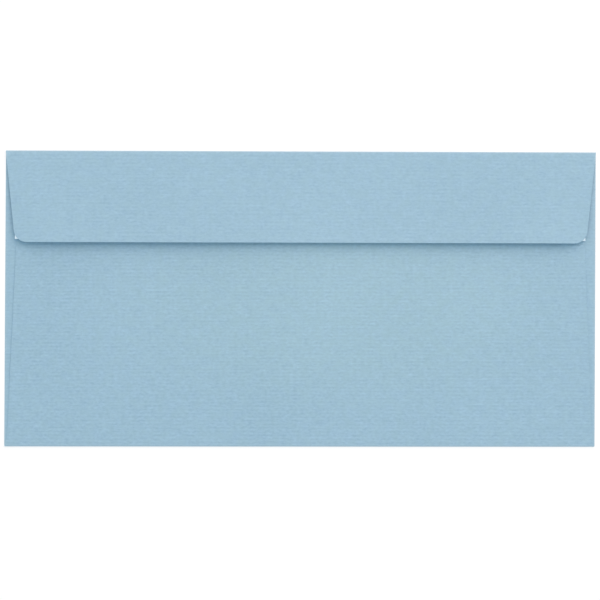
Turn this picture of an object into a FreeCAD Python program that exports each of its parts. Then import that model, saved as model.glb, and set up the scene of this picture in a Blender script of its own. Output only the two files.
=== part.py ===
import FreeCAD, Part
import math
import os

# A long wallet envelope with side seams, lying on its front with its closed flap upward.
# X runs along the long side, Y from the bottom fold to the flap's fold, Z up from the table.
# The origin is under the middle of the envelope. Lengths are millimetres, angles are degrees.

# The closed envelope and its paper
envelope_width = 220.0
envelope_height = 110.0
paper_thickness = 0.16

# Closure flap, folded over at the top edge and left unsealed
flap_depth = 34.15  # from the fold's outer edge to the free edge, seen from above
flap_root_inset = 0.1  # from the envelope's side to the flap's side edge, at the fold
flap_taper_angle = 6.4
flap_corner_radius = 5.0
flap_fold_gap = 0.1  # between the back panel's level and the flap's inner face, at the fold
flap_spring_angle = 3.9  # by which the fold springs open again
flap_bow = 0.1  # rise of the free edge's middle over its ends

# Back panel, folded up from the bottom edge over the side flaps
mouth_depth = 14.0  # from the top edge of the envelope down to the panel's edge
back_root_inset = 0.1  # from the envelope's side to the panel's side edge, at the fold
back_shoulder_inset = 1.0  # the same, where the corner's cut ends
back_shoulder_height = 3.0  # from the bend to the end of the corner's cut
back_taper_angle = 2.4  # above that cut
back_corner_radius = 3.0
back_bow = 0.6  # rise of the mouth's middle over the glued seams, which stay flat

# Side flaps, folded in from the front panel and glued under the back panel
side_flap_width = 17.0
side_fold_radius = 0.08  # inside the fold
side_fold_relief = 0.15  # from the front panel's corners to the ends of the side fold
side_flap_lower_angle = 14.0
side_flap_upper_angle = 22.0
side_corner_radius = 4.0

# Seam glue between each side flap and the back panel
seam_glue_thickness = 0.04
seam_glue_margin = 2.0  # from the edges of both panels to the glue's long sides
seam_glue_end_margin = 3.0

# Closure adhesive on the flap's inner face, under a release liner as long as the free edge
liner_width = 12.0
liner_thickness = 0.06
liner_edge_margin = 1.0  # from the flap's free edge to the liner
liner_end_margin = 0.15  # from the corners of that edge to the liner's ends
adhesive_thickness = 0.04
adhesive_side_margin = 2.0  # from the liner's long edges to the adhesive
adhesive_end_margin = 4.0  # from the liner's ends to the adhesive

# Levels in the stack of paper, and the folds that reach them
side_fold_outer = side_fold_radius + paper_thickness
side_flap_top = 2 * side_fold_outer
back_panel_level = side_flap_top + seam_glue_thickness
back_panel_top = back_panel_level + paper_thickness
bottom_fold_radius = (back_panel_level - paper_thickness) / 2
bottom_fold_outer = bottom_fold_radius + paper_thickness
flap_fold_radius = (back_panel_top + flap_fold_gap - paper_thickness) / 2
flap_fold_outer = flap_fold_radius + paper_thickness

# The flat part of the front panel, between its folds
front_half_width = envelope_width / 2 - side_fold_outer
front_bottom = bottom_fold_outer - envelope_height / 2
front_top = envelope_height / 2 - flap_fold_outer
front_middle = (front_bottom + front_top) / 2

# Each folded panel's half width at its fold, and its length along the paper from the bend
spring_sine = math.sin(math.radians(flap_spring_angle))
spring_cosine = math.cos(math.radians(flap_spring_angle))
flap_root = envelope_width / 2 - flap_root_inset
flap_length = (flap_depth - flap_fold_outer + flap_fold_radius * spring_sine) / spring_cosine
back_root = envelope_width / 2 - back_root_inset
back_shoulder = envelope_width / 2 - back_shoulder_inset
back_length = envelope_height - mouth_depth - bottom_fold_outer
side_root = (front_top - front_bottom) / 2 - side_fold_relief
side_length = side_flap_width - side_fold_outer
seam_inner = envelope_width / 2 - side_flap_width

x_axis = FreeCAD.Vector(1, 0, 0)
z_axis = FreeCAD.Vector(0, 0, 1)

# The front panel's fold lines, each with +Y pointing out of the panel
flap_line = FreeCAD.Placement(FreeCAD.Vector(0, front_top, 0), FreeCAD.Rotation())
bottom_line = FreeCAD.Placement(FreeCAD.Vector(0, front_bottom, 0), FreeCAD.Rotation(z_axis, 180))
right_line = FreeCAD.Placement(
    FreeCAD.Vector(front_half_width, front_middle, 0),
    FreeCAD.Rotation(z_axis, -90),
)


def after_bend(inner_radius, spring=0):
    # Where a panel goes whose own frame has the fold along y = 0 and its inner face on z = 0.
    y = inner_radius * math.sin(math.radians(spring))
    z = paper_thickness + inner_radius + inner_radius * math.cos(math.radians(spring))
    turned_back = FreeCAD.Rotation(z_axis, 180)
    sprung = FreeCAD.Rotation(x_axis, -spring)
    return FreeCAD.Placement(FreeCAD.Vector(0, y, z), sprung * turned_back)


def moved(shape, *placements):
    # A copy of a shape, moved by each placement in turn.
    copy = shape.copy()
    for placement in placements:
        copy.Placement = placement * copy.Placement
    return copy


def mirrored(shape):
    # The same piece on the envelope's left side.
    return shape.mirror(FreeCAD.Vector(0, 0, 0), x_axis)


def inset_at(distance, taper):
    # How far a tapered side has drawn in, at a distance from the fold.
    return distance * math.tan(math.radians(taper))


# Half the back panel's width at its free edge, without the rounding of its corners
back_end = back_shoulder - inset_at(back_length - back_shoulder_height, back_taper_angle)


def rounded_face(corners):
    # A flat face through (x, y, radius) corners, each rounded by its own tangent arc.
    points = [FreeCAD.Vector(x, y, 0) for x, y, radius in corners]
    arcs = []
    for i, here in enumerate(points):
        back = (points[i - 1] - here).normalize()
        ahead = (points[(i + 1) % len(points)] - here).normalize()
        half_angle = back.getAngle(ahead) / 2
        radius = corners[i][2]
        cut = radius / math.tan(half_angle)
        middle = (back + ahead).normalize() * (radius / math.sin(half_angle) - radius)
        arcs.append((here + back * cut, here + middle, here + ahead * cut))
    edges = []
    for i, arc in enumerate(arcs):
        if corners[i][2] > 0:
            edges.append(Part.Arc(*arc).toShape())
        edges.append(Part.LineSegment(arc[2], arcs[(i + 1) % len(arcs)][0]).toShape())
    return Part.Face(Part.Wire(edges))


def panel_face(root, length, left_taper, right_taper, corner_radius):
    # A folded panel's outline, from its fold at y = 0 to its free edge at y = length.
    left_end = inset_at(length, left_taper) - root
    right_end = root - inset_at(length, right_taper)
    return rounded_face([
        (-root, 0, 0),
        (root, 0, 0),
        (right_end, length, corner_radius),
        (left_end, length, corner_radius),
    ])


def back_face():
    # The back panel's outline: a short steep cut from each end of its fold, then the long taper.
    return rounded_face([
        (-back_root, 0, 0),
        (back_root, 0, 0),
        (back_shoulder, back_shoulder_height, 0),
        (back_end, back_length, back_corner_radius),
        (-back_end, back_length, back_corner_radius),
        (-back_shoulder, back_shoulder_height, 0),
    ])


def band_face(left, right, low, high):
    return rounded_face([(left, low, 0), (right, low, 0), (right, high, 0), (left, high, 0)])


def raised(face, bottom, height):
    # A flat face made into a plate.
    base = face.copy()
    base.translate(FreeCAD.Vector(0, 0, bottom))
    return base.extrude(FreeCAD.Vector(0, 0, height))


def bowed_layer(half_width, length, bow, bottom, thickness):
    # An even layer, flat along its fold and its two sides, whose far edge bows up to its middle.
    # All layers of one panel share one smooth patch, so that layers that touch meet exactly.
    across = 4
    along = 2
    patch = Part.BezierSurface()
    patch.increase(across, along)
    middle_pole = bow * 8 / 3  # it counts for 3/8 of the height at the middle of the far edge
    for i in range(across + 1):
        for j in range(along + 1):
            rise = middle_pole if i == across / 2 and j == along else 0
            x = (2 * i / across - 1) * half_width
            patch.setPole(i + 1, j + 1, FreeCAD.Vector(x, length * j / along, bottom + rise))
    return patch.toShape().extrude(FreeCAD.Vector(0, 0, thickness))


def trimmed(layer, face):
    # The part of a bowed layer that lies within a flat outline.
    box = layer.BoundBox
    return layer.common(raised(face, box.ZMin - paper_thickness, box.ZLength + 2 * paper_thickness))


def bend(inner_radius, turn, root):
    # The bend of a fold. The sheet arrives along +Y on z = 0, and starts to turn up at y = 0.
    section = Part.makePolygon([
        FreeCAD.Vector(-root, 0, 0),
        FreeCAD.Vector(root, 0, 0),
        FreeCAD.Vector(root, 0, paper_thickness),
        FreeCAD.Vector(-root, 0, paper_thickness),
        FreeCAD.Vector(-root, 0, 0),
    ])
    centre = FreeCAD.Vector(0, 0, paper_thickness + inner_radius)
    return Part.Face(section).revolve(centre, x_axis, turn)


def front_panel():
    face = band_face(-front_half_width, front_half_width, front_bottom, front_top)
    return raised(face, 0, paper_thickness)


def closure_flap():
    face = panel_face(flap_root, flap_length, flap_taper_angle, flap_taper_angle, flap_corner_radius)
    layer = bowed_layer(flap_root, flap_length, flap_bow, 0, paper_thickness)
    panel = moved(trimmed(layer, face), after_bend(flap_fold_radius, flap_spring_angle))
    turn = 180 - flap_spring_angle
    return [moved(piece, flap_line) for piece in (bend(flap_fold_radius, turn, flap_root), panel)]


def back_panel():
    # Flat over the glued side flaps, and bowed between them.
    middle_face = band_face(-seam_inner, seam_inner, 0, back_length)
    sides = raised(back_face(), 0, paper_thickness).cut(raised(middle_face, 0, paper_thickness))
    middle = bowed_layer(seam_inner, back_length, back_bow, 0, paper_thickness)
    panels = [moved(piece, after_bend(bottom_fold_radius)) for piece in (sides, middle)]
    return [moved(piece, bottom_line) for piece in [bend(bottom_fold_radius, 180, back_root)] + panels]


def right_side_flap():
    # Its left end, seen from the fold, is the lower one.
    lower = side_flap_lower_angle
    upper = side_flap_upper_angle
    face = panel_face(side_root, side_length, lower, upper, side_corner_radius)
    panel = moved(raised(face, 0, paper_thickness), after_bend(side_fold_radius))
    return [moved(piece, right_line) for piece in (bend(side_fold_radius, 180, side_root), panel)]


def envelope_sheet():
    # The one folded blank: front panel, side flaps, back panel and closure flap.
    right_side = right_side_flap()
    left_side = [mirrored(piece) for piece in right_side]
    sheet = front_panel().multiFuse(right_side + left_side + back_panel() + closure_flap())
    return sheet.removeSplitter()


def right_seam_glue():
    # A band between the side flap and the back panel.
    outer = back_end - seam_glue_margin
    low = side_fold_relief + inset_at(side_length, side_flap_lower_angle) + seam_glue_end_margin
    high = back_length - seam_glue_end_margin
    face = band_face(seam_inner + seam_glue_margin, outer, low, high)
    band = raised(face, -seam_glue_thickness, seam_glue_thickness)
    return moved(band, after_bend(bottom_fold_radius), bottom_line)


def flap_strip(half_length, side_margin, bottom, thickness):
    # A strip under the flap's inner face, set in by side_margin from the liner's long edges.
    high = flap_length - liner_edge_margin - side_margin
    low = flap_length - liner_edge_margin - liner_width + side_margin
    layer = bowed_layer(flap_root, flap_length, flap_bow, bottom, thickness)
    strip = trimmed(layer, band_face(-half_length, half_length, low, high))
    return moved(strip, after_bend(flap_fold_radius, flap_spring_angle), flap_line)


flap_end = flap_root - inset_at(flap_length, flap_taper_angle)
liner_half_length = flap_end - liner_end_margin
adhesive_half_length = liner_half_length - adhesive_end_margin
liner_bottom = -adhesive_thickness - liner_thickness

right_glue = right_seam_glue()
nodes = {
    "envelope_sheet": envelope_sheet(),
    "left_seam_glue": mirrored(right_glue),
    "right_seam_glue": right_glue,
    "flap_adhesive": flap_strip(
        adhesive_half_length, adhesive_side_margin, -adhesive_thickness, adhesive_thickness),
    "release_liner": flap_strip(liner_half_length, 0, liner_bottom, liner_thickness),
}

os.makedirs("parts", exist_ok=True)
for name, shape in nodes.items():
    box = shape.optimalBoundingBox()
    print(name, "valid" if shape.isValid() else "NOT VALID", len(shape.Solids), "solid",
          f"{box.XLength:.2f} x {box.YLength:.2f} x {box.ZMin:.3f}..{box.ZMax:.3f} mm",
          f"{shape.Volume:.1f} mm3")
    shape.exportStep(f"parts/{name}.step")
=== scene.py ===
import math
import random

import bpy
import bmesh
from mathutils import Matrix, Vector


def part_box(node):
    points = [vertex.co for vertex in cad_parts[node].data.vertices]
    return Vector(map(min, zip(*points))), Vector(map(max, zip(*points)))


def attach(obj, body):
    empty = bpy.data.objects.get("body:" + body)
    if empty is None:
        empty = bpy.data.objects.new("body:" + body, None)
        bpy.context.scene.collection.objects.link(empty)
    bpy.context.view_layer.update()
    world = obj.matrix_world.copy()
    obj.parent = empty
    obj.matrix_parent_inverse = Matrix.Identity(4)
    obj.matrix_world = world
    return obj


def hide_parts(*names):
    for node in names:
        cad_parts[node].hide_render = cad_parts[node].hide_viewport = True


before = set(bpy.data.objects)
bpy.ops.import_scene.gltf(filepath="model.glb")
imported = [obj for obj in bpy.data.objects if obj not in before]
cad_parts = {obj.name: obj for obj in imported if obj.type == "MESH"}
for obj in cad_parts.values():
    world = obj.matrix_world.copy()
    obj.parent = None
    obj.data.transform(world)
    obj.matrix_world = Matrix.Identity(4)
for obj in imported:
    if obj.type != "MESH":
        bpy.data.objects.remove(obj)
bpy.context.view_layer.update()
print("envelope frame loaded")

mm = 0.001
paperLow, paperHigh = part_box("envelope_sheet")
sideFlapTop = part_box("right_seam_glue")[0].z  # the glue lies on the side flap
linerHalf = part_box("release_liner")[1].x
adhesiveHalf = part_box("flap_adhesive")[1].x


# Camera, first: it hangs over the envelope, a little to the left of its middle

cameraView = {
    "place": (-16.86 * mm, -6.12 * mm, 800 * mm),
    "turn": (0.407, -1.183, 0.108),  # degrees about X, Y and Z from straight down
    "lens": 128.73,
    "sensor": 36.0,
    "clipStart": 10 * mm,
}


def makeCamera():
    data = bpy.data.cameras.new("overhead")
    data.type = "PERSP"
    data.sensor_width = cameraView["sensor"]
    data.lens = cameraView["lens"]
    data.clip_start = cameraView["clipStart"]
    camera = bpy.data.objects.new("overhead", data)
    camera.location = cameraView["place"]
    camera.rotation_euler = [math.radians(angle) for angle in cameraView["turn"]]
    bpy.context.scene.collection.objects.link(camera)
    bpy.context.scene.camera = camera


makeCamera()
print("camera placed")


# Shader maths

class Wire:
    # a socket that can be added, multiplied and so on, or a tree's starting point if it has none
    def __init__(self, tree, socket=None):
        self.tree = tree
        self.socket = socket

    def node(self, kind, settings=None, inputs=None, output=0):
        made = self.tree.nodes.new(kind)
        for name, value in (settings or {}).items():
            setattr(made, name, value)
        for name, value in (inputs or {}).items():
            if isinstance(value, Wire):
                self.tree.links.new(value.socket, made.inputs[name])
            else:
                made.inputs[name].default_value = value
        return Wire(self.tree, made.outputs[output])

    def math(self, operation, first, second=0.0, clamp=False):
        settings = {"operation": operation, "use_clamp": clamp}
        return self.node("ShaderNodeMath", settings, {0: first, 1: second})

    def __add__(self, other):
        return self.math("ADD", self, other)

    def __sub__(self, other):
        return self.math("SUBTRACT", self, other)

    def __mul__(self, other):
        return self.math("MULTIPLY", self, other)

    def __truediv__(self, other):
        return self.math("DIVIDE", self, other)

    def __radd__(self, other):
        return self.math("ADD", other, self)

    def __rsub__(self, other):
        return self.math("SUBTRACT", other, self)

    def __rmul__(self, other):
        return self.math("MULTIPLY", other, self)

    def __rtruediv__(self, other):
        return self.math("DIVIDE", other, self)

    def __abs__(self):
        return self.math("ABSOLUTE", self)

    def clamped(self):
        # never below 0 or above 1
        return self.math("ADD", self, 0.0, True)

    def step(self, low, high):
        # 0 below low, 1 above high, smooth between
        settings = {"interpolation_type": "SMOOTHSTEP"}
        return self.node("ShaderNodeMapRange", settings, {0: self, 1: low, 2: high})

    def stretched(self, x, y, z):
        # a vector with each of its parts multiplied
        settings = {"operation": "MULTIPLY"}
        return self.node("ShaderNodeVectorMath", settings, {0: self, 1: (x, y, z)})

    def shifted(self, x, y, z):
        return self.node("ShaderNodeVectorMath", {"operation": "ADD"}, {0: self, 1: (x, y, z)})

    def length(self):
        return self.node("ShaderNodeVectorMath", {"operation": "LENGTH"}, {0: self}, "Value")

    def part(self, axis):
        return self.node("ShaderNodeSeparateXYZ", None, {0: self}, axis)

    def noise(self, stretch, scale, detail, roughness=0.5):
        # from about -1 to 1
        inputs = {"Scale": scale, "Detail": detail, "Roughness": roughness}
        inputs["Vector"] = self.stretched(*stretch)
        return self.node("ShaderNodeTexNoise", None, inputs) * 2 - 1

    # a Mix node's colours go into its sockets 6 and 7 and come out of its output 2

    def plus(self, colour, factor):
        # this colour with a share of another added
        settings = {"data_type": "RGBA", "blend_type": "ADD"}
        return self.node("ShaderNodeMix", settings, {0: factor, 6: self, 7: colour}, 2)

    def mixed(self, first, second):
        # first where this factor is 0 and second where it is 1
        return self.node("ShaderNodeMix", {"data_type": "RGBA"}, {0: self, 6: first, 7: second}, 2)


def startMaterial(name):
    material = bpy.data.materials.new(name)
    material.use_nodes = True
    tree = material.node_tree
    shader = tree.nodes["Principled BSDF"]
    return material, Wire(tree), shader


def feed(shader, name, value):
    # a link where the value varies, or a plain number or colour
    if isinstance(value, Wire):
        value.tree.links.new(value.socket, shader.inputs[name])
    else:
        shader.inputs[name].default_value = value


def bump(start, height):
    # height in thousandths of a mm
    inputs = {"Height": height, "Distance": 0.001 * mm, "Strength": 1.0}
    return start.node("ShaderNodeBump", None, inputs)


def colour(red, green, blue):
    # an 8-bit screen colour as Blender's own
    linear = []
    for level in (red, green, blue):
        share = level / 255
        linear.append(share / 12.92 if share <= 0.04045 else ((share + 0.055) / 1.055) ** 2.4)
    return (*linear, 1.0)


# The folded blank: one sheet of paper

blank = {
    "paperThickness": 0.16 * mm,
    "seamGlueThickness": 0.04 * mm,
    "skew": 0.0032,  # cut and folded a little out of square, so that it leans to the right
    "flapFoldGap": 0.1 * mm,
    "flapDepth": 34.15 * mm,
    "flapTaper": math.radians(6.3),
    "flapCornerRadius": 5.0 * mm,
    "flapSpring": math.radians(3.05),
    "flapBow": 0.1 * mm,
    "flapCurl": 0.5 * mm,  # rise of the flap's free edge over its flat part
    "flapLean": 0.15 * mm,  # rise of that edge's left end, and drop of its right end
    "flapRipple": 0.10 * mm,  # how far the loose flap waves
    "flapWaves": (11, 7, 45 * mm, 120 * mm),  # seed, number, shortest and longest
    "cornerDroop": 0.95 * mm,  # how far the flap's two corners curl down
    "cornerReach": 11.0 * mm,
    "mouthDepth": 14.0 * mm,
    "backRootInset": 0.1 * mm,
    "backShoulderInset": 1.0 * mm,
    "backShoulderHeight": 3.0 * mm,
    "backTaper": math.radians(2.4),
    "backCornerRadius": 3.0 * mm,
    "backBow": 0.6 * mm,
    "backRipple": 0.08 * mm,  # between its seams
    "backWaves": (5, 9, 35 * mm, 110 * mm),
    "backEdgeLift": 0.07 * mm,  # rise of its side edges outside the glue
    "backEdgeWidth": 2.0 * mm,
    "backEdgeStart": 12.0 * mm,  # the rise is whole this far up from the bottom fold
    "sideFlapWidth": 17.0 * mm,
    "sideFoldRelief": 0.15 * mm,
    "sideLowerAngle": math.radians(14.0),
    "sideUpperAngle": math.radians(22.0),
    "sideCornerRadius": 4.0 * mm,
    "calmRoot": 0.6,  # share of a panel's depth over which its ripple grows
    "calmSides": 0.7,  # share of the way to its calm sides at which it begins to fade
    "cell": 1.6 * mm,  # spacing of the mesh
    "edgeCells": (1.1 * mm, 2.3 * mm),  # and its first columns in from the back panel's ends
    "weld": 0.001 * mm,  # points nearer to each other than this on the flat blank are one
    "bendSteps": 12,
    "cornerSteps": 8,
}

thickness = blank["paperThickness"]
sideRadius = sideFlapTop / 2 - thickness
backLevel = sideFlapTop + blank["seamGlueThickness"]
bottomRadius = (backLevel - thickness) / 2
flapRadius = (backLevel + blank["flapFoldGap"]) / 2
frontHalf = paperHigh.x - sideRadius - thickness
frontBottom = paperLow.y + bottomRadius + thickness
frontTop = paperHigh.y - flapRadius - thickness


def makeRipple(seed, waves, shortest, longest):
    # a gentle unevenness from -1 to 1, a sum of waves that run all ways
    dice = random.Random(seed)
    terms = []
    for i in range(waves):
        reach = 2 * math.pi / dice.uniform(shortest, longest)
        heading = dice.uniform(0, math.pi)
        phase = dice.uniform(0, 2 * math.pi)
        terms.append((reach * math.cos(heading), reach * math.sin(heading), phase))

    def ripple(x, y):
        return sum(math.sin(a * x + b * y + phase) for a, b, phase in terms) / waves

    return ripple


def eased(value, low, high):
    # 0 at low, 1 at high, smooth between
    share = min(1.0, max(0.0, (value - low) / (high - low)))
    return share * share * (3 - 2 * share)


def evenly(low, high, spacing):
    count = max(1, round((high - low) / spacing))
    return [low + (high - low) * i / count for i in range(count + 1)]


class Arm:
    # a panel that leaves the front panel over a fold. Its points are given by how far along
    # the fold they are, how far out along the paper, and by the side of the paper

    def __init__(self, line, outward, root, radius, spring, length, tapers, cornerRadius, lift,
                 shoulder=(0.0, 0.0)):
        self.line = line  # the fold's distance from the envelope's middle
        self.outward = outward  # X and Y of the way out
        self.root = root  # both ends of the fold
        self.radius = radius
        self.turn = math.pi - spring
        self.length = length
        self.tapers = tapers
        self.cornerRadius = cornerRadius
        self.lift = lift
        self.shoulder = shoulder  # how far in and how far out a first, steeper cut goes
        self.bendLength = self.turn * (radius + thickness / 2)

    def rows(self):
        # distances out along the paper, close together at its bend and at its round corners
        bendSteps, cornerSteps = blank["bendSteps"], blank["cornerSteps"]
        bend = [self.bendLength * i / bendSteps for i in range(bendSteps)]
        arcStart = self.length - self.cornerRadius
        flat = evenly(0, arcStart, blank["cell"])[:-1]
        if self.shoulder[1]:
            flat = sorted(set(flat + [self.shoulder[1]]))
        turns = [math.pi / 2 / cornerSteps * i for i in range(cornerSteps + 1)]
        arc = [arcStart + self.cornerRadius * math.sin(turn) for turn in turns]
        return bend + [self.bendLength + v for v in flat + arc]

    def inset(self, v, taper):
        # how far a side has drawn in at v from the bend, shoulder and round corner included
        shoulderInset, shoulderHeight = self.shoulder
        start = shoulderInset - shoulderHeight * math.tan(taper)
        arcStart = self.length - self.cornerRadius
        above = v - arcStart
        if v < shoulderHeight:
            return v * shoulderInset / shoulderHeight
        if above <= self.cornerRadius * math.sin(taper):
            return start + v * math.tan(taper)
        centre = start + (self.cornerRadius + arcStart * math.sin(taper)) / math.cos(taper)
        return centre - math.sqrt(max(0.0, self.cornerRadius ** 2 - above ** 2))

    def along(self, place, out):
        # where a point of the fold goes as the panel narrows
        v = max(0.0, out - self.bendLength)
        low = self.root[0] + self.inset(v, self.tapers[0])
        high = self.root[1] - self.inset(v, self.tapers[1])
        share = (place - self.root[0]) / (self.root[1] - self.root[0])
        return low + (high - low) * share

    def point(self, along, out, depth):
        # depth is 0 on the envelope's outside, and the paper's thickness on its inside
        reach = self.radius + thickness - depth
        angle = min(out / (self.radius + thickness / 2), self.turn)
        v = max(0.0, out - self.bendLength)
        lift = self.lift(along, v) if v > 0 else 0.0
        away = reach * math.sin(angle) + v * math.cos(self.turn) + lift * math.sin(self.turn)
        up = thickness + self.radius - reach * math.cos(angle) + v * math.sin(self.turn)
        up -= lift * math.cos(self.turn)
        far = self.line + away
        if self.outward[0]:
            return (self.outward[0] * far, along, up)
        return (along, self.outward[1] * far, up)

    def blankPlace(self, along, out):
        # the same point on the flat blank, before folding
        far = self.line + out
        if self.outward[0]:
            return (self.outward[0] * far, along)
        return (along, self.outward[1] * far)


def bowedLift(half, length, bow, rippleHeight, waves, calmFrom):
    # the rise of a panel over its flat: a bow that grows to its free edge and is 0 from half
    # outward, and a ripple that is 0 at its fold and from calmFrom outward
    ripple = makeRipple(*waves)

    def lift(along, v):
        share = min(1.0, max(0.0, (along + half) / (2 * half)))
        bowed = bow * (v / length) ** 2 * (4 * share * (1 - share)) ** 2
        calm = eased(v, 0, blank["calmRoot"] * length)
        calm *= 1 - eased(abs(along), blank["calmSides"] * calmFrom, calmFrom)
        return bowed + rippleHeight * calm * ripple(along, v)

    return lift


def withCurl(lift, half, length, taper):
    # the loose flap's free edge curls up, higher at its left end than at its right, and its
    # corners droop
    def curled(along, v):
        share = v / length
        end = half - v * math.tan(taper)
        corner = eased(abs(along), end - blank["cornerReach"], end)
        rise = lift(along, v) + blank["flapCurl"] * share ** 4
        rise -= blank["flapLean"] * along / half * share
        return rise - blank["cornerDroop"] * corner * share ** 2

    return curled


def withRaisedEdges(lift, half, taper):
    # side edges that turn up a little, outside the glue
    def raised(along, v):
        edge = half - v * math.tan(taper)
        near = eased(abs(along), edge - blank["backEdgeWidth"], edge)
        return lift(along, v) + blank["backEdgeLift"] * near * eased(v, 0, blank["backEdgeStart"])

    return raised


def flatLift(along, v):
    return 0.0


flapHalf = paperHigh.x
flapSpring = blank["flapSpring"]
flapReach = blank["flapDepth"] - (flapRadius + thickness) + flapRadius * math.sin(flapSpring)
flapLength = flapReach / math.cos(flapSpring)
backHalf = paperHigh.x - blank["backRootInset"]
backLength = paperHigh.y - paperLow.y - blank["mouthDepth"] - bottomRadius - thickness
sideLength = blank["sideFlapWidth"] - sideRadius - thickness
sideRoot = (frontBottom + blank["sideFoldRelief"], frontTop - blank["sideFoldRelief"])
seamInner = paperHigh.x - blank["sideFlapWidth"]

flapLift = bowedLift(
    flapHalf, flapLength, blank["flapBow"], blank["flapRipple"], blank["flapWaves"], 2 * flapHalf)
backLift = bowedLift(
    seamInner, backLength, blank["backBow"], blank["backRipple"], blank["backWaves"], seamInner)

flapArm = Arm(
    frontTop, (0, 1), (-flapHalf, flapHalf), flapRadius, flapSpring, flapLength,
    (blank["flapTaper"], blank["flapTaper"]), blank["flapCornerRadius"],
    withCurl(flapLift, flapHalf, flapLength, blank["flapTaper"]),
)
backArm = Arm(
    -frontBottom, (0, -1), (-backHalf, backHalf), bottomRadius, 0.0, backLength,
    (blank["backTaper"], blank["backTaper"]), blank["backCornerRadius"],
    withRaisedEdges(backLift, paperHigh.x - blank["backShoulderInset"], blank["backTaper"]),
    (blank["backShoulderInset"] - blank["backRootInset"], blank["backShoulderHeight"]),
)
sideArms = [
    Arm(
        frontHalf, (side, 0), sideRoot, sideRadius, 0.0, sideLength,
        (blank["sideLowerAngle"], blank["sideUpperAngle"]), blank["sideCornerRadius"], flatLift,
    )
    for side in (-1, 1)
]


class Sheet:
    # grids of points on both sides of a sheet, joined round every free edge into a closed mesh
    def __init__(self):
        self.outer = []
        self.inner = []
        self.places = []
        self.faces = []
        self.known = {}

    def point(self, outer, inner, place):
        key = (round(place[0] / blank["weld"]), round(place[1] / blank["weld"]))
        if key not in self.known:
            self.known[key] = len(self.outer)
            self.outer.append(outer)
            self.inner.append(inner)
            self.places.append(place)
        return self.known[key]

    def grid(self, rows):
        for lower, upper in zip(rows, rows[1:]):
            for i in range(len(lower) - 1):
                self.faces.append((lower[i], lower[i + 1], upper[i + 1], upper[i]))

    def build(self, name):
        count = len(self.outer)
        sides = {}
        for face in self.faces:
            for a, b in zip(face, face[1:] + face[:1]):
                sides[(a, b)] = True
        rim = [(a, b) for a, b in sides if (b, a) not in sides]
        faces = list(self.faces)
        faces += [tuple(i + count for i in reversed(face)) for face in self.faces]
        faces += [(b, a, a + count, b + count) for a, b in rim]
        leaning = [(x + blank["skew"] * y, y, z) for x, y, z in self.outer + self.inner]
        mesh = bpy.data.meshes.new(name)
        mesh.from_pydata(leaning, [], faces)
        attribute = mesh.attributes.new("blankPlace", "FLOAT_VECTOR", "POINT")
        for i, (x, y) in enumerate(self.places):
            attribute.data[i].vector = (x, y, 0.0)
            attribute.data[i + count].vector = (x, y, 1.0)
        work = bmesh.new()
        work.from_mesh(mesh)
        bmesh.ops.recalc_face_normals(work, faces=work.faces)
        sharp = {tuple(sorted((a, b))) for a, b in rim}
        sharp |= {(a + count, b + count) for a, b in sharp}
        for edge in work.edges:
            edge.smooth = tuple(sorted(v.index for v in edge.verts)) not in sharp
        for face in work.faces:
            face.smooth = True
        work.to_mesh(mesh)
        work.free()
        piece = bpy.data.objects.new(name, mesh)
        bpy.context.scene.collection.objects.link(piece)
        return piece


def frontStations():
    # X of the front panel's columns and Y of its rows, which the other panels carry on
    near, far = blank["edgeCells"]
    columns = evenly(far - backHalf, backHalf - far, blank["cell"])
    for edge in (flapHalf, backHalf, backHalf - near, frontHalf):
        columns += [-edge, edge]
    rows = [frontBottom, frontTop] + evenly(*sideRoot, blank["cell"])
    return sorted(set(columns)), sorted(set(rows))


def makeEnvelopePaper():
    sheet = Sheet()
    columns, rows = frontStations()
    front = []
    for y in rows:
        inside = [x for x in columns if abs(x) <= frontHalf]
        front.append([sheet.point((x, y, 0.0), (x, y, thickness), (x, y)) for x in inside])
    sheet.grid(front)
    for arm in [flapArm, backArm] + sideArms:
        low, high = arm.root
        slack = 0.01 * mm
        stations = rows if arm.outward[0] else columns
        stations = [place for place in stations if low - slack <= place <= high + slack]
        made = []
        for out in arm.rows():
            row = []
            for place in stations:
                along = arm.along(place, out)
                outer = arm.point(along, out, 0.0)
                inner = arm.point(along, out, thickness)
                row.append(sheet.point(outer, inner, arm.blankPlace(along, out)))
            made.append(row)
        # keep every face the same way round as the front panel's
        if arm in (backArm, sideArms[1]):
            made = [row[::-1] for row in made]
        sheet.grid(made)
    return sheet.build("envelopePaper")


envelopePaper = makeEnvelopePaper()
print("paper folded:", len(envelopePaper.data.polygons), "faces")


# The liner and the adhesive under it, on the flap's inner face

liner = {
    "thickness": 0.06 * mm,
    "width": 12.0 * mm,
    "edgeMargin": 1.12 * mm,  # from the flap's free edge
    "reach": 0.2 * mm,  # how far each end goes beyond the solid's
    "shift": -0.15 * mm,  # of both strips along the flap
    "slant": 0.0008,  # of both: their left ends lie a little nearer to the fold
    "cell": 2.0 * mm,  # spacing of both meshes
}

adhesive = {
    "thickness": 0.04 * mm,
    "sideMargin": 2.0 * mm,  # in from the liner's long sides
}


def makeFlapStrip(name, half, sideMargin, top, stripThickness):
    # a strip from top to top + stripThickness under the flap's inner face, that follows the flap
    sheet = Sheet()
    high = flapLength - liner["edgeMargin"] - sideMargin
    low = flapLength - liner["edgeMargin"] - liner["width"] + sideMargin
    made = []
    for v in evenly(low, high, liner["cell"]):
        row = []
        for x in evenly(liner["shift"] - half, liner["shift"] + half, liner["cell"]):
            out = flapArm.bendLength + v + liner["slant"] * x
            upper = flapArm.point(x, out, thickness + top)
            lower = flapArm.point(x, out, thickness + top + stripThickness)
            row.append(sheet.point(lower, upper, (x, v)))
        made.append(row)
    sheet.grid(made)
    return sheet.build(name)


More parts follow.
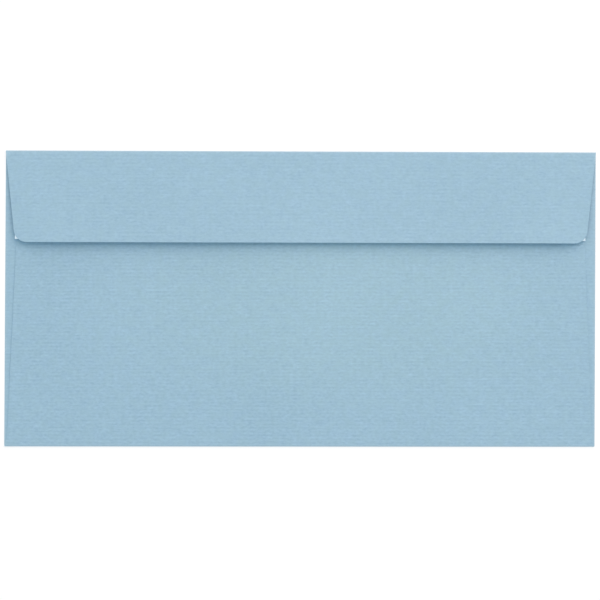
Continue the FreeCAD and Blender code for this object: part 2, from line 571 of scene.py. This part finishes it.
releaseLiner = makeFlapStrip(
    "releaseLiner", linerHalf + liner["reach"], 0.0, adhesive["thickness"], liner["thickness"])
flapAdhesive = makeFlapStrip(
    "flapAdhesive", adhesiveHalf, adhesive["sideMargin"], 0.0, adhesive["thickness"])
print("liner and adhesive laid on the flap")


# Finishes. Lengths in them are in mm on the flat blank, and heights in thousandths of a mm.
# A fade goes from nothing at its first value to all at its second. A noise is given by its
# stretch along X, Y and Z, its scale, its detail and its roughness

laidPaper = {
    "pale": colour(173, 206, 226),
    "deep": colour(153, 186, 207),
    "warm": colour(163, 196, 205),  # in slow patches
    "warmFade": (-0.5, 0.5),
    "warmShare": 0.3,
    "paintedLight": (0.017, 0.021, 0.002, 1.0),  # painted light: a pool of warm lamp light added to the back panel's middle
    "paintedLightMiddle": (13.0, -107.0),
    "paintedLightReach": (105.0, 46.0),
    "paintedLightFade": (0.0, 0.65),
    "worn": colour(178, 204, 218),  # along the folds
    "wornFade": (0.25, 1.1),  # unlike the others, from all of it to none, out from a fold
    "wornShare": 0.4,
    "wornUnevenness": 0.35,
    "cut": colour(190, 214, 226),  # at the cut edges
    "ribPeriod": 1.37,
    "ribWander": 0.2,
    "ribFade": (-0.3, 0.3),  # from patches of faint ribs to patches of clear ones
    "ribLeast": 0.2,  # what is left of the faint ones
    "ribTone": 0.112,
    "streakTone": 0.38,
    "cloudTone": 0.26,
    "grainTone": 0.72,
    "driftTone": 0.25,
    "backFade": (50.0, 60.0),  # down from the front panel's middle to the back panel
    "backPaintedRibShade": 0.058,  # how much more the back panel has, painted light and shade for the stronger relief shading the lamp gives it
    "backPaintedGrainShade": 0.13,
    "ribHeight": 5.0,
    "streakHeight": 6.0,
    "grainHeight": 2.5,
    "roughness": 0.88,
    "streakRoughness": 0.05,
    "specular": 0.25,
    "noises": {
        "wander": ((1, 2.5, 1), 0.035, 1.0),
        "patch": ((0.35, 1, 1), 0.8, 2.0),
        "streak": ((0.16, 0.68, 1), 1.5, 2.0, 0.6),
        "grain": ((0.48, 0.85, 1), 1.5, 2.0, 0.6),
        "cloud": ((0.8, 1, 1), 0.3, 3.0, 0.55),
        "drift": ((1, 1, 1), 0.018, 1.0),
        "warmth": ((1, 1, 1), 0.26, 2.0),
        "wear": ((1, 1, 1), 0.5, 2.0),
    },
}

sidesApart = 40  # mm between the noise on one side of the paper and that on the other


def flatPlace(start):
    # where a point lies on the flat blank
    place = start.node("ShaderNodeAttribute", {"attribute_name": "blankPlace"}, None, "Vector")
    return place.stretched(1 / mm, 1 / mm, sidesApart)


def makeNoises(place, look):
    return {name: place.noise(*values) for name, values in look["noises"].items()}


def foldDistance(start, place):
    # how far a point of the flat blank is from the middle of the nearest fold
    x = abs(place.part(0))
    y = place.part(1)
    side = frontHalf + sideArms[1].bendLength / 2
    top = frontTop + flapArm.bendLength / 2
    bottom = frontBottom - backArm.bendLength / 2
    nearest = abs(x - side / mm)
    for line in (top, bottom):
        nearest = start.math("MINIMUM", nearest, abs(y - line / mm))
    return nearest


def laidPaperFinish():
    # pale blue writing paper with fine broken ribs along the envelope
    look = laidPaper
    material, start, shader = startMaterial("laid blue paper")
    place = flatPlace(start)
    noise = makeNoises(place, look)

    across = (place.part(1) + noise["wander"] * look["ribWander"]) / look["ribPeriod"]
    clear = noise["patch"].step(*look["ribFade"]) * (1 - look["ribLeast"]) + look["ribLeast"]
    ribs = start.math("SINE", across * 2 * math.pi) * clear

    back = (0 - place.part(1)).step(*look["backFade"])
    # the ribs and grain are the paper's own, and their extra strength on the back panel is painted
    # light and shade
    tone = 0.5 + ribs * (look["ribTone"] + back * look["backPaintedRibShade"])
    tone = tone + noise["streak"] * look["streakTone"] + noise["cloud"] * look["cloudTone"]
    tone = tone + noise["grain"] * (look["grainTone"] + back * look["backPaintedGrainShade"])
    tone = tone + noise["drift"] * look["driftTone"]
    paper = tone.clamped().mixed(look["deep"], look["pale"])
    warmth = noise["warmth"].step(*look["warmFade"]) * look["warmShare"]
    paper = warmth.mixed(paper, look["warm"])

    # painted light: a soft pool of warm lamp light added to the colour round the back panel's
    # middle
    middleX, middleY = look["paintedLightMiddle"]
    reachX, reachY = look["paintedLightReach"]
    away = place.shifted(-middleX, -middleY, 0).stretched(1 / reachX, 1 / reachY, 0).length()
    paper = paper.plus(look["paintedLight"], (1 - away).step(*look["paintedLightFade"]))

    crease = 1 - foldDistance(start, place).step(*look["wornFade"])
    wear = crease * (noise["wear"] * look["wornUnevenness"] + look["wornShare"])
    paper = wear.mixed(paper, look["worn"])
    side = place.part(2) / sidesApart  # 0 outside, 1 inside and between them on a cut edge
    cutEdge = side * (1 - side) * 4
    paper = cutEdge.mixed(paper, look["cut"])

    height = ribs * look["ribHeight"] + noise["streak"] * look["streakHeight"]
    height = height + noise["grain"] * look["grainHeight"]
    feed(shader, "Base Color", paper)
    feed(shader, "Roughness", look["roughness"] + noise["streak"] * look["streakRoughness"])
    feed(shader, "Normal", bump(start, height))
    feed(shader, "Specular IOR Level", look["specular"])
    return material


releasePaper = {
    "white": colour(228, 246, 255),
    "shade": colour(219, 238, 250),
    "cloudTone": 0.5,
    "fibreTone": 0.2,
    "cloudHeight": 4.0,
    "fibreHeight": 1.0,
    "roughness": 0.42,
    "cloudRoughness": 0.08,
    "silicone": 0.25,  # its coat
    "siliconeRoughness": 0.3,
    "noises": {
        "cloud": ((1, 1, 1), 0.3, 3.0, 0.6),
        "fibre": ((0.4, 1.6, 1), 1.2, 2.0),
    },
}


def releasePaperFinish():
    # thin glassy white paper with a silicone face
    look = releasePaper
    material, start, shader = startMaterial("white release paper")
    noise = makeNoises(flatPlace(start), look)
    tone = 0.5 + noise["cloud"] * look["cloudTone"] + noise["fibre"] * look["fibreTone"]
    height = noise["cloud"] * look["cloudHeight"] + noise["fibre"] * look["fibreHeight"]
    feed(shader, "Base Color", tone.clamped().mixed(look["shade"], look["white"]))
    feed(shader, "Roughness", look["roughness"] + noise["cloud"] * look["cloudRoughness"])
    feed(shader, "Normal", bump(start, height))
    feed(shader, "Coat Roughness", look["siliconeRoughness"])
    feed(shader, "Coat Weight", look["silicone"])
    return material


flapGlue = {
    "clear": colour(226, 226, 214),
    "deep": colour(210, 211, 198),
    "roughness": 0.35,
}

seamGlue = {
    "clear": colour(214, 205, 176),
    "deep": colour(196, 186, 154),
    "roughness": 0.5,
}

glueFilm = {
    "spreadTone": 0.6,
    "beadTone": 0.2,
    "spreadHeight": 5.0,
    "beadHeight": 3.0,
    "beadRoughness": 0.1,
    "noises": {
        "spread": ((0.3, 1, 1), 0.6, 3.0),
        "beads": ((1, 1, 1), 1.8, 2.0),
    },
}


def glueFinish(name, glue):
    # a thin film of glue, spread unevenly by its roller
    film = glueFilm
    material, start, shader = startMaterial(name)
    place = start.node("ShaderNodeTexCoord", None, None, "Object")
    noise = makeNoises(place.stretched(1 / mm, 1 / mm, 1 / mm), film)
    tone = 0.5 + noise["spread"] * film["spreadTone"] + noise["beads"] * film["beadTone"]
    height = noise["spread"] * film["spreadHeight"] + noise["beads"] * film["beadHeight"]
    feed(shader, "Base Color", tone.clamped().mixed(glue["deep"], glue["clear"]))
    feed(shader, "Roughness", glue["roughness"] + noise["beads"] * film["beadRoughness"])
    feed(shader, "Normal", bump(start, height))
    return material


def dress(piece, material):
    piece.data.materials.clear()
    piece.data.materials.append(material)


dress(envelopePaper, laidPaperFinish())
dress(releaseLiner, releasePaperFinish())
dress(flapAdhesive, glueFinish("flap adhesive", flapGlue))
seamGlueFinish = glueFinish("seam glue", seamGlue)
for name in ("left_seam_glue", "right_seam_glue"):
    dress(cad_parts[name], seamGlueFinish)

for piece, node, slot in (
    (envelopePaper, "envelope_sheet", "blue_paper"),
    (releaseLiner, "release_liner", "liner_paper"),
    (flapAdhesive, "flap_adhesive", "closure_adhesive"),
):
    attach(piece, "root")
    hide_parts(node)
print("finishes applied")


# Studio: a pale table, one soft lamp beyond the flap's fold and a little to the right, and soft
# light all round

table = {
    "side": 6.0,
    "drop": 0.02 * mm,  # below the envelope
    "colour": colour(247, 247, 247),
    "roughness": 0.9,
    "seenColour": (1.0, 1.0, 1.0, 1.0),
    "seenStrength": 1.18,
    "seenShare": 0.55,  # how far the camera sees it as plain white, near the envelope
    "seenFade": (0.25, 0.7),  # metres out from the middle, to where it is seen so altogether
}

lamp = {
    "place": (0.33, 0.98, 0.88),
    "side": 1.7,
    "watts": 15.6,
    "tint": (1.0, 0.73, 0.625),
}

sky = {
    "light": (0.55, 0.66, 0.71, 1.0),  # with the lamp, an even white on the table
    "seenColour": (1.0, 1.0, 1.0, 1.0),
}


def seenRays(start):
    # 1 for what the camera sees, by itself, in gloss or through glass, and 0 for what gives light
    camera, gloss, glass = (
        start.node("ShaderNodeLightPath", None, None, ray)
        for ray in ("Is Camera Ray", "Is Glossy Ray", "Is Transmission Ray")
    )
    return start.math("MAXIMUM", start.math("MAXIMUM", camera, gloss), glass)


def makeTable():
    half = table["side"] / 2
    corners = ((-half, -half), (half, -half), (half, half), (-half, half))
    mesh = bpy.data.meshes.new("table")
    mesh.from_pydata([(x, y, -table["drop"]) for x, y in corners], [], [(0, 1, 2, 3)])
    top = bpy.data.objects.new("table", mesh)
    bpy.context.scene.collection.objects.link(top)
    material, start, shader = startMaterial("pale table")
    feed(shader, "Base Color", table["colour"])
    feed(shader, "Roughness", table["roughness"])
    place = start.node("ShaderNodeTexCoord", None, None, "Object")
    far = place.length().step(*table["seenFade"])
    share = table["seenShare"] + far * (1 - table["seenShare"])
    inputs = {"Color": table["seenColour"], "Strength": table["seenStrength"]}
    white = start.node("ShaderNodeEmission", None, inputs)
    inputs = {0: seenRays(start) * share, 1: Wire(start.tree, shader.outputs[0]), 2: white}
    mixed = start.node("ShaderNodeMixShader", None, inputs)
    start.tree.links.new(mixed.socket, start.tree.nodes["Material Output"].inputs["Surface"])
    dress(top, material)


def makeLamp():
    data = bpy.data.lights.new("soft lamp", "AREA")
    data.shape = "SQUARE"
    data.size = lamp["side"]
    data.energy = lamp["watts"]
    data.color = lamp["tint"]
    light = bpy.data.objects.new("soft lamp", data)
    light.location = lamp["place"]
    light.visible_camera = False
    light.rotation_euler = light.location.normalized().to_track_quat("Z", "Y").to_euler()
    bpy.context.scene.collection.objects.link(light)


def makeSky():
    world = bpy.data.worlds.new("studio")
    world.use_nodes = True
    start = Wire(world.node_tree)
    light = seenRays(start).mixed(sky["light"], sky["seenColour"])
    start.tree.links.new(light.socket, world.node_tree.nodes["Background"].inputs["Color"])
    bpy.context.scene.world = world


makeTable()
makeLamp()
makeSky()
bpy.context.scene.view_settings.view_transform = "Standard"
print("studio lit")
